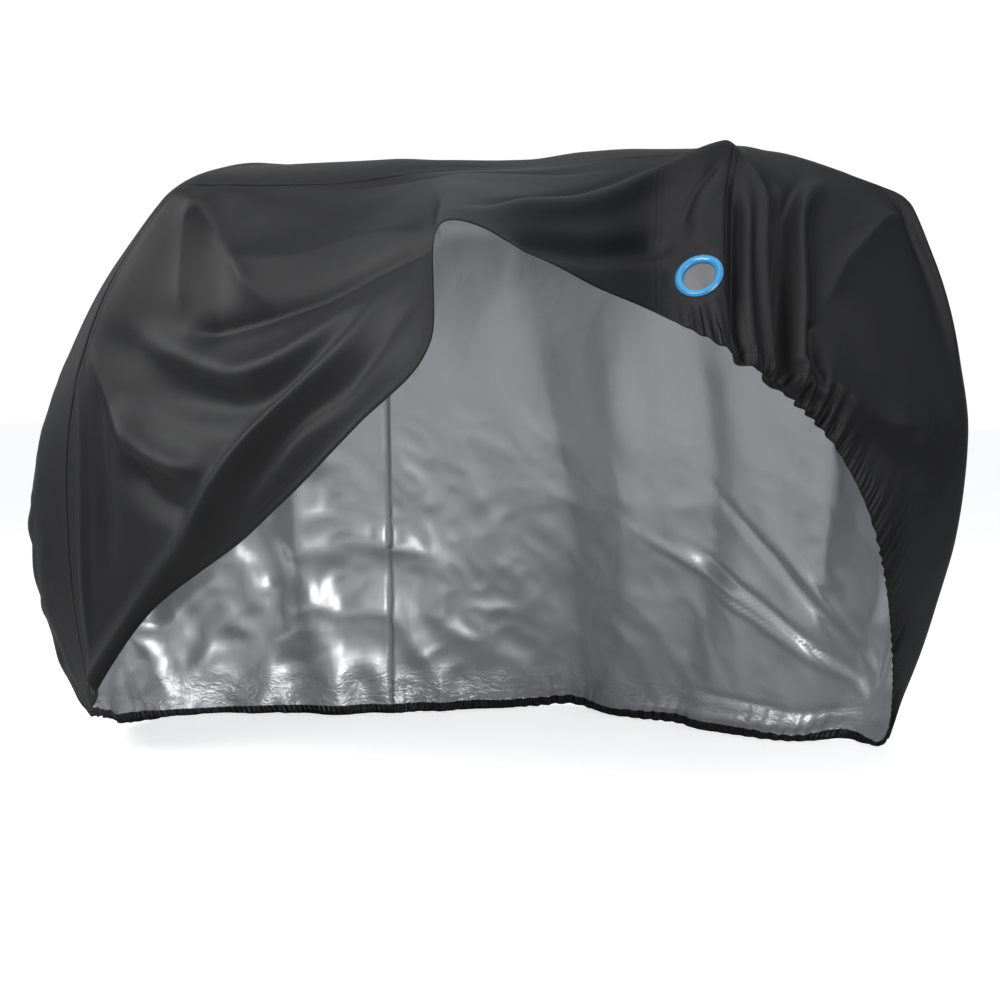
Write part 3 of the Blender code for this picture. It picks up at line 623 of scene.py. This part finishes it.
def coated_black(colour):
    """Black coated cloth: satin, finely woven, with sewn seams and a stitched elastic hem."""
    nodes = Nodes("coated_cloth_black")
    place = nodes.place()
    seam, run, sewn_here = nodes.kept("seam_place")
    hem, hem_along, gathered = nodes.kept("hem_place")

    clouds = nodes.noise(place, 3.5, 4.0, 0.55)
    dust = nodes.noise(place, 60.0, 5.0, 0.65)
    dark, light = shades(colour, 0.80, 1.28)
    mottled = nodes.maths("MULTIPLY_ADD", dust, 0.35, nodes.maths("MULTIPLY", clouds, 0.65))
    ground = nodes.mix(mottled, dark, light)
    in_seam = nodes.maths("MULTIPLY", nodes.step(seam, 0.0006, 0.0022, 1.0, 0.0), sewn_here)
    ground = nodes.mix(nodes.maths("MULTIPLY", in_seam, 0.85), ground, shades(colour, 0.20, 1.0)[0])
    thread = nodes.maths("MAXIMUM", stitch_height(nodes, seam, run, SEAM_STITCH),
                         stitch_height(nodes, hem, hem_along, HEM_STITCH))
    ground = nodes.mix(nodes.maths("MULTIPLY", thread, 0.5), ground, shades(colour, 1.0, 2.2)[1])
    worn = nodes.step(hem, 0.0, 0.004, 0.12, 0.0)
    ground = nodes.mix(worn, ground, shades(colour, 1.0, 2.6)[1])
    nodes.link(ground, nodes.shader.inputs["Base Color"])

    rough = nodes.maths("MULTIPLY_ADD", clouds, 0.16, 0.36)
    nodes.link(nodes.maths("MULTIPLY_ADD", thread, 0.25, rough), nodes.shader.inputs["Roughness"])
    nodes.shader.inputs["Specular IOR Level"].default_value = 0.24
    nodes.shader.inputs["Sheen Weight"].default_value = 0.02
    nodes.shader.inputs["Sheen Roughness"].default_value = 0.4

    crumple = nodes.noise(nodes.stretched(place, (1.0, 1.0, 0.55)), 14.0, 4.0, 0.5, 0.4)
    normal = nodes.bump(crumple, 0.0035, 0.25)
    fold_over = nodes.maths("MULTIPLY", nodes.step(seam, 0.008, 0.0095, 1.0, 0.0), sewn_here)
    sewn = nodes.maths("SUBTRACT", fold_over, nodes.maths("MULTIPLY", in_seam, 1.8))
    normal = nodes.bump(sewn, 0.0011, 0.9, normal)
    ruche = ruche_height(nodes, clouds, hem_along, gathered)
    band = nodes.maths("MULTIPLY", nodes.step(hem, 0.024, 0.040, 1.0, 0.0), ruche)
    normal = nodes.bump(band, 0.0011, 0.8, normal)
    normal = nodes.bump(thread, 0.0005, 0.8, normal)
    normal = nodes.bump(weave_height(nodes, place, WEAVE_PITCH), 0.00008, 0.6, normal)
    nodes.link(normal, nodes.shader.inputs["Normal"])
    return nodes.material


def coated_silver(colour):
    """The cloth's silver coating: softly metallic, creased, with a crinkled strip above the hem."""
    nodes = Nodes("coated_cloth_silver")
    place = nodes.place()
    seam = nodes.kept("seam_place")[0]
    hem, hem_along, gathered = nodes.kept("hem_place")

    clouds = nodes.noise(place, 2.6, 4.0, 0.5)
    grain = nodes.noise(place, 140.0, 4.0, 0.6)
    dark, light = shades(colour, 0.86, 1.10)
    mottled = nodes.maths("MULTIPLY_ADD", grain, 0.3, nodes.maths("MULTIPLY", clouds, 0.7))
    ground = nodes.mix(mottled, dark, light)
    in_seam = nodes.step(seam, 0.0012, 0.0022, 1.0, 0.0)
    ground = nodes.mix(nodes.maths("MULTIPLY", in_seam, 0.45), ground, (0.16, 0.16, 0.165))
    elastic = nodes.step(hem, 0.019, 0.021, 1.0, 0.0)
    ground = nodes.mix(elastic, ground, (0.016, 0.016, 0.017))
    nodes.link(ground, nodes.shader.inputs["Base Color"])
    bare = nodes.maths("MULTIPLY", nodes.maths("SUBTRACT", 1.0, in_seam),
                       nodes.maths("SUBTRACT", 1.0, elastic))
    nodes.link(nodes.maths("MULTIPLY", bare, 0.80), nodes.shader.inputs["Metallic"])
    nodes.link(nodes.maths("MULTIPLY_ADD", clouds, 0.16, 0.26), nodes.shader.inputs["Roughness"])

    crumple = nodes.noise(nodes.stretched(place, (1.0, 1.0, 0.45)), 7.0, 3.0, 0.45, 0.4)
    normal = nodes.bump(crumple, 0.012, 0.35)
    crinkled = nodes.step(hem, 0.04, 0.13, 1.0, 0.0)
    crinkle = nodes.noise(nodes.stretched(place, (1.0, 1.0, 1.7)), 34.0, 4.0, 0.6, 1.2)
    normal = nodes.bump(nodes.maths("MULTIPLY", crinkled, crinkle), 0.008, 0.4, normal)
    ruche = ruche_height(nodes, clouds, hem_along, gathered)
    normal = nodes.bump(nodes.maths("MULTIPLY", elastic, ruche), 0.0016, 0.8, normal)
    nodes.link(normal, nodes.shader.inputs["Normal"])
    return nodes.material


def ring_plastic(colour):
    """Moulded blue plastic: glossy, with faint flow marks and a few light scuffs."""
    nodes = Nodes("ring_plastic_blue")
    place = nodes.place()
    flow = nodes.noise(place, 28.0, 3.0, 0.5)
    scuffs = nodes.noise(nodes.stretched(place, (1.0, 1.0, 3.0)), 420.0, 4.0, 0.7)
    dark, light = shades(colour, 0.90, 1.10)
    nodes.link(nodes.mix(flow, dark, light), nodes.shader.inputs["Base Color"])
    scuffed = nodes.step(scuffs, 0.55, 0.75, 0.0, 0.14)
    nodes.link(nodes.maths("MULTIPLY_ADD", flow, 0.06, nodes.maths("ADD", scuffed, 0.15)),
               nodes.shader.inputs["Roughness"])
    nodes.shader.inputs["Coat Weight"].default_value = 0.35
    nodes.shader.inputs["Coat Roughness"].default_value = 0.08
    nodes.link(nodes.bump(scuffs, 0.00006, 0.4), nodes.shader.inputs["Normal"])
    return nodes.material


def floor_paint(colour):
    """Plain pale studio floor with a very faint unevenness."""
    nodes = Nodes("studio_floor")
    place = nodes.place()
    dark, light = shades(colour, 0.985, 1.0)
    paint = nodes.mix(nodes.noise(place, 1.5, 3.0, 0.5), dark, light)
    seen = nodes.tree.nodes.new("ShaderNodeLightPath").outputs[0]
    nodes.link(nodes.mix(seen, shades(colour, 0.45, 1.0)[0], paint), nodes.shader.inputs["Base Color"])
    nodes.shader.inputs["Emission Color"].default_value = (1.0, 1.0, 1.0, 1.0)
    nodes.link(nodes.maths("MULTIPLY", seen, 0.62), nodes.shader.inputs["Emission Strength"])
    nodes.shader.inputs["Roughness"].default_value = 0.6
    nodes.shader.inputs["Specular IOR Level"].default_value = 0.2
    return nodes.material


# Sizes and colours that a user would change --------------------------------------------------
class CoverSizes(bpy.types.PropertyGroup):
    """Sizes of the cover's cloth and ring."""

    cloth: bpy.props.FloatProperty(
        name="Cloth", description="Thickness of the coated cloth", default=0.0016,
        min=0.0005, max=0.003, precision=4, subtype="DISTANCE", unit="LENGTH")
    gather_rise: bpy.props.FloatProperty(
        name="Gathers", description="How far the elastic's gathers stand out at the hem", default=0.0048,
        min=0.0, max=0.01, precision=4, subtype="DISTANCE", unit="LENGTH")
    ring_hole: bpy.props.FloatProperty(
        name="Ring hole", description="Clear diameter of the eyelet ring", default=0.052,
        min=0.04, max=0.055, precision=4, subtype="DISTANCE", unit="LENGTH")
    ring_barrel: bpy.props.FloatProperty(
        name="Ring barrel", description="Diameter of the ring's barrel in the cloth", default=0.058,
        min=0.05, max=0.062, precision=4, subtype="DISTANCE", unit="LENGTH")
    ring_flange: bpy.props.FloatProperty(
        name="Ring flange", description="Outer diameter of the ring's front flange", default=0.078,
        min=0.07, max=0.09, precision=4, subtype="DISTANCE", unit="LENGTH")


class CoverColours(bpy.types.PropertyGroup):
    """Colours of the cover and its stage."""

    outside: bpy.props.FloatVectorProperty(
        name="Outside", description="Colour of the coated cloth's outside", default=(0.0125, 0.0125, 0.0135),
        min=0.0, max=1.0, subtype="COLOR")
    inside: bpy.props.FloatVectorProperty(
        name="Inside", description="Colour of the silver coating inside", default=(0.74, 0.75, 0.77),
        min=0.0, max=1.0, subtype="COLOR")
    ring: bpy.props.FloatVectorProperty(
        name="Ring", description="Colour of the plastic ring", default=(0.040, 0.31, 0.62),
        min=0.0, max=1.0, subtype="COLOR")
    floor: bpy.props.FloatVectorProperty(
        name="Floor", description="Colour of the studio floor", default=(0.92, 0.92, 0.92),
        min=0.0, max=1.0, subtype="COLOR")


def cloth_materials():
    """Return the outside's and the inside's materials, made once."""
    colours = bpy.context.scene.cover_colours
    outside = bpy.data.materials.get("coated_cloth_black") or coated_black(tuple(colours.outside))
    inside = bpy.data.materials.get("coated_cloth_silver") or coated_silver(tuple(colours.inside))
    return outside, inside


def open_eyelet(bm, radius):
    """Cut the round hole for the ring's barrel and draw its edge onto a circle."""
    centre, axis = Vector(EYELET_CENTRE - CARRIED_AT), Vector(EYELET_AXIS)

    def aside(place):
        lift = (place - centre).dot(axis)
        return place - centre - axis * lift, lift

    gone = []
    for face in bm.faces:
        across, lift = aside(face.calc_center_median())
        if across.length < radius and abs(lift) < EYELET_REACH:
            gone.append(face)
    bmesh.ops.delete(bm, geom=gone, context="FACES")
    for vert in bm.verts:
        across, lift = aside(vert.co)
        if vert.is_boundary and across.length < radius + HOLE_MARGIN and abs(lift) < HOLE_MARGIN:
            vert.co = centre + across.normalized() * radius


class COVER_OT_near_side(bpy.types.Operator):
    """Lay the lifted near side, with the strip that holds the eyelet."""

    bl_idname = "cover.near_side"
    bl_label = "Near side"

    def execute(self, context):
        sizes = context.scene.cover_sizes
        at = np.concatenate([spread(0, 4, 120)[:-1], spread(4, 8, 84)[:-1], spread(8, 9, 34)])
        bm = cloth_panel([(at, spread(0, 1, 84))], ("near_top", "rear", "strip", "front"), sizes)
        turn_outwards(bm, 2.5, 0.5)
        open_eyelet(bm, sizes.ring_barrel / 2 + 2 * SEAM_GAP)
        piece = finish_panel(bm, "near_side_cloth", sizes, cloth_materials())
        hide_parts("near_side", "eyelet_strip")
        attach(piece, "root")
        return {"FINISHED"}


class COVER_OT_far_side(bpy.types.Operator):
    """Lay the far side, which falls straight to the floor."""

    bl_idname = "cover.far_side"
    bl_label = "Far side"

    def execute(self, context):
        sizes = context.scene.cover_sizes
        bm = cloth_panel([(spread(FRONT_FAR, REAR_FAR, 220), spread(0, 1, 150))],
                         ("far_top", "front_far", "rear_far"), sizes)
        turn_outwards(bm, 15.5, 0.5)
        piece = finish_panel(bm, "far_side_cloth", sizes, cloth_materials())
        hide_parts("far_side")
        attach(piece, "root")
        return {"FINISHED"}


class COVER_OT_centre_band(bpy.types.Operator):
    """Lay the band that runs up the front end, over the top and down the rear end."""

    bl_idname = "cover.centre_band"
    bl_label = "Centre band"

    def execute(self, context):
        sizes = context.scene.cover_sizes
        near = spread(0, FRONT_SEAM, 150)
        front = np.concatenate([spread(FRONT_SEAM, 11, 92)[:-1], spread(11, 12, 46)[:-1],
                                spread(12, FRONT_FAR, 66)])
        far = FRONT_FAR + (REAR_FAR - FRONT_FAR) * (1 - near[::-1] / FRONT_SEAM)
        rear = spread(REAR_FAR, ROUND, 90)
        top = np.concatenate([spread(-1, -0.3, 14)[:-1], spread(-0.3, 0, 12)])
        wall = spread(0, 1, 96)
        bm = cloth_panel(
            [(near, top), (front, top), (far, top), (rear, top), (front, wall), (rear, wall)],
            ("near_top", "far_top", "rear", "front", "front_far", "rear_far"), sizes)
        turn_outwards(bm, 11.0, 0.5)
        piece = finish_panel(bm, "centre_band_cloth", sizes, cloth_materials())
        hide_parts("centre_band")
        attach(piece, "root")
        return {"FINISHED"}


class COVER_OT_eyelet_ring(bpy.types.Operator):
    """Turn the blue ring: a crowned front flange, a barrel through the cloth and a back flange."""

    bl_idname = "cover.eyelet_ring"
    bl_label = "Eyelet ring"

    def execute(self, context):
        sizes = context.scene.cover_sizes
        hole, barrel, flange = sizes.ring_hole / 2, sizes.ring_barrel / 2, sizes.ring_flange / 2
        front, back = SEAM_GAP, -RING_GRIP - SEAM_GAP
        outline = (
            (barrel, front), (flange - 0.0006, front), (flange, front + 0.0004), (flange, front + 0.0012),
            (flange - 0.0005, front + 0.0018), (flange - 0.0016, front + 0.0021),
            (flange - 0.0022, front + 0.0030), (flange - 0.0036, front + 0.0039),
            (flange - 0.0055, front + 0.0042), (flange - 0.0075, front + 0.0039),
            (hole + 0.0030, front + 0.0032), (hole + 0.0014, front + 0.0022), (hole + 0.0004, front + 0.0010),
            (hole, front - 0.0004), (hole, back - 0.0010), (hole + 0.0003, back - 0.0017),
            (hole + 0.0010, back - 0.0020), (flange - 0.0046, back - 0.0020),
            (flange - 0.0037, back - 0.0016), (flange - 0.0034, back - 0.0010),
            (flange - 0.0036, back), (barrel, back),
        )
        bm = bmesh.new()
        verts = [bm.verts.new((radius, 0.0, height)) for radius, height in outline]
        edges = [bm.edges.new((vert, verts[number - 1])) for number, vert in enumerate(verts)]
        bmesh.ops.spin(bm, geom=verts + edges, cent=(0, 0, 0), axis=(0, 0, 1), angle=2 * np.pi,
                       steps=120, use_merge=True)
        bmesh.ops.recalc_face_normals(bm, faces=bm.faces[:])
        turn = Vector(EYELET_AXIS).to_track_quat("Z", "Y").to_matrix()
        bmesh.ops.rotate(bm, verts=bm.verts[:], cent=(0, 0, 0), matrix=turn)
        bmesh.ops.translate(bm, verts=bm.verts[:], vec=Vector(EYELET_CENTRE - CARRIED_AT))
        colour = tuple(context.scene.cover_colours.ring)
        piece = mesh_object(bm, "eyelet_ring_blue", [ring_plastic(colour)])
        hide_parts("eyelet_ring")
        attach(piece, "root")
        return {"FINISHED"}


class COVER_OT_stage(bpy.types.Operator):
    """Set the pale floor, the soft studio light and the camera at the photograph's angle."""

    bl_idname = "cover.stage"
    bl_label = "Stage"

    def execute(self, context):
        scene = context.scene
        bm = bmesh.new()
        bmesh.ops.create_grid(bm, x_segments=4, y_segments=4, size=30.0)
        bmesh.ops.translate(bm, verts=bm.verts[:], vec=(0, 0, -CARRIED_AT[2]))
        paint = floor_paint(tuple(scene.cover_colours.floor))
        floor = mesh_object(bm, "studio_floor", [paint], smooth=False)

        world = bpy.data.worlds.new("studio_air")
        world.use_nodes = True
        tree = world.node_tree
        seen = tree.nodes["Background"]
        seen.inputs["Color"].default_value = (1.0, 1.0, 1.0, 1.0)
        seen.inputs["Strength"].default_value = 1.03
        soft = tree.nodes.new("ShaderNodeBackground")
        soft.inputs["Color"].default_value = (0.92, 0.95, 1.0, 1.0)
        soft.inputs["Strength"].default_value = 0.38
        share = tree.nodes.new("ShaderNodeMixShader")
        tree.links.new(tree.nodes.new("ShaderNodeLightPath").outputs[0], share.inputs[0])
        tree.links.new(soft.outputs[0], share.inputs[1])
        tree.links.new(seen.outputs[0], share.inputs[2])
        tree.links.new(share.outputs[0], tree.nodes["World Output"].inputs[0])
        scene.world = world
        scene.view_settings.view_transform = "Standard"

        for name, place, aim, size, power in (
                ("overhead_softbox", (0.2, -0.4, 2.4), (0.0, 0.0, 0.0), 3.0, 22.0),
                ("key_softbox", (-0.3, -2.9, 1.3), (0.1, 0.0, -0.4), 1.3, 54.0),
                ("front_softbox", (2.9, -2.4, 0.3), (0.2, 0.1, -0.5), 1.8, 38.0),
                ("side_softbox", (-3.0, -1.6, 0.8), (0.0, 0.0, -0.4), 1.5, 32.0)):
            lamp = bpy.data.lights.new(name, "AREA")
            lamp.size = size
            lamp.energy = power
            light = bpy.data.objects.new(name, lamp)
            light.location = place
            light.rotation_euler = (Vector(aim) - Vector(place)).to_track_quat("-Z", "Y").to_euler()
            scene.collection.objects.link(light)

        lens = bpy.data.cameras.new("studio_camera")
        lens.lens = 53.28
        lens.sensor_width = 36.0
        lens.shift_y = -0.102
        camera = bpy.data.objects.new("studio_camera", lens)
        camera.location = (1.434, -2.266, -0.434)
        camera.rotation_euler = (np.radians(90.0), 0.0, np.radians(32.13))
        scene.collection.objects.link(camera)
        scene.camera = camera
        return {"FINISHED"}


class COVER_PT_panel(bpy.types.Panel):
    """The cover's sizes, colours and pieces."""

    bl_idname = "COVER_PT_panel"
    bl_label = "Draped cover"
    bl_space_type = "VIEW_3D"
    bl_region_type = "UI"
    bl_category = "Cover"

    def draw(self, context):
        layout = self.layout
        for group in (context.scene.cover_sizes, context.scene.cover_colours):
            for name in group.__annotations__:
                layout.prop(group, name)
        for operator in OPERATORS:
            layout.operator(operator.bl_idname)


OPERATORS = (COVER_OT_centre_band, COVER_OT_far_side, COVER_OT_near_side, COVER_OT_eyelet_ring,
             COVER_OT_stage)
CLASSES = (CoverSizes, CoverColours, *OPERATORS, COVER_PT_panel)


def register():
    """Register the add-on's classes and properties."""
    for item in CLASSES:
        bpy.utils.register_class(item)
    bpy.types.Scene.cover_sizes = bpy.props.PointerProperty(type=CoverSizes)
    bpy.types.Scene.cover_colours = bpy.props.PointerProperty(type=CoverColours)


def unregister():
    """Take the add-on's classes and properties away again."""
    del bpy.types.Scene.cover_colours
    del bpy.types.Scene.cover_sizes
    for item in reversed(CLASSES):
        bpy.utils.unregister_class(item)


def main():
    """Build every piece and the stage."""
    register()
    bpy.ops.cover.eyelet_ring()
    bpy.ops.cover.centre_band()
    bpy.ops.cover.far_side()
    bpy.ops.cover.near_side()
    bpy.ops.cover.stage()


if __name__ == "__main__":
    main()
